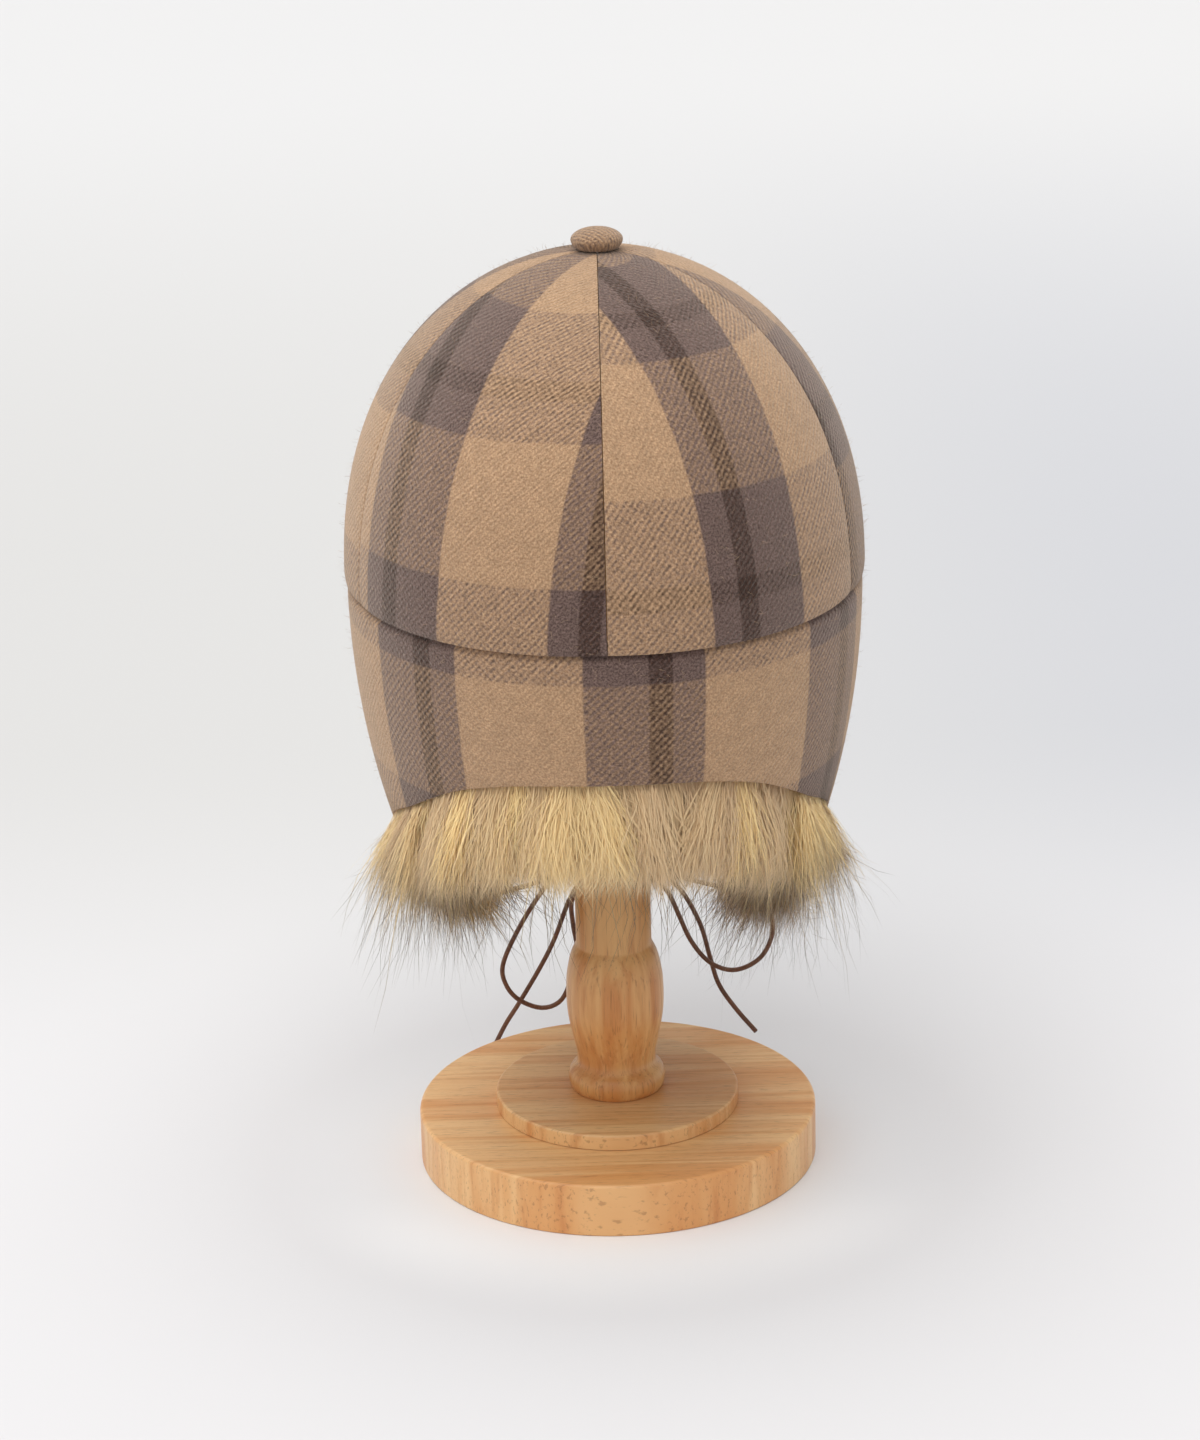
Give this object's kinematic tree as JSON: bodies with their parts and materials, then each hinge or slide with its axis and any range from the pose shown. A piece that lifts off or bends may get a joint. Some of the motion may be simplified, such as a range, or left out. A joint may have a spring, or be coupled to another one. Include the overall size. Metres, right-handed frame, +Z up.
{
  "type": "earflap cap on a turned wooden hat stand",
  "caption": "Fur-lined plaid wool earflap cap with a peak and leather ties knotted in a bow, held up by a turned wooden hat stand.",
  "frame": {"origin": "centre of the stand's base, on the surface that it stands on", "axes": "+Z up along the stand's post, -Y towards the cap's peak, +X towards the wearer's left"},
  "size_m": [0.1872, 0.262, 0.3551],
  "materials": {
    "plaid_wool": "brushed wool twill in a camel, taupe and dark brown plaid",
    "fur": "long golden-beige pile with dark brown tips",
    "cord_leather": "thin round dark brown leather cord, slightly waxed",
    "wood": "light turned hardwood with a satin lacquer"
  },
  "bodies": {
    "root": {"stand_base": "wood", "stand_disc": "wood", "stand_post": "wood", "stand_dome": "wood", "crown_panel_1": "plaid_wool", "crown_panel_2": "plaid_wool", "crown_panel_3": "plaid_wool", "crown_panel_4": "plaid_wool", "crown_panel_5": "plaid_wool", "crown_panel_6": "plaid_wool", "top_button": "plaid_wool", "peak": "plaid_wool", "flap": "plaid_wool", "fur_lining": "fur", "tie_left": "cord_leather", "tie_right": "cord_leather", "loop_left": "cord_leather", "loop_right": "cord_leather", "tail_left": "cord_leather", "tail_right": "cord_leather", "bow_knot": "cord_leather"}
  },
  "joints": []
}
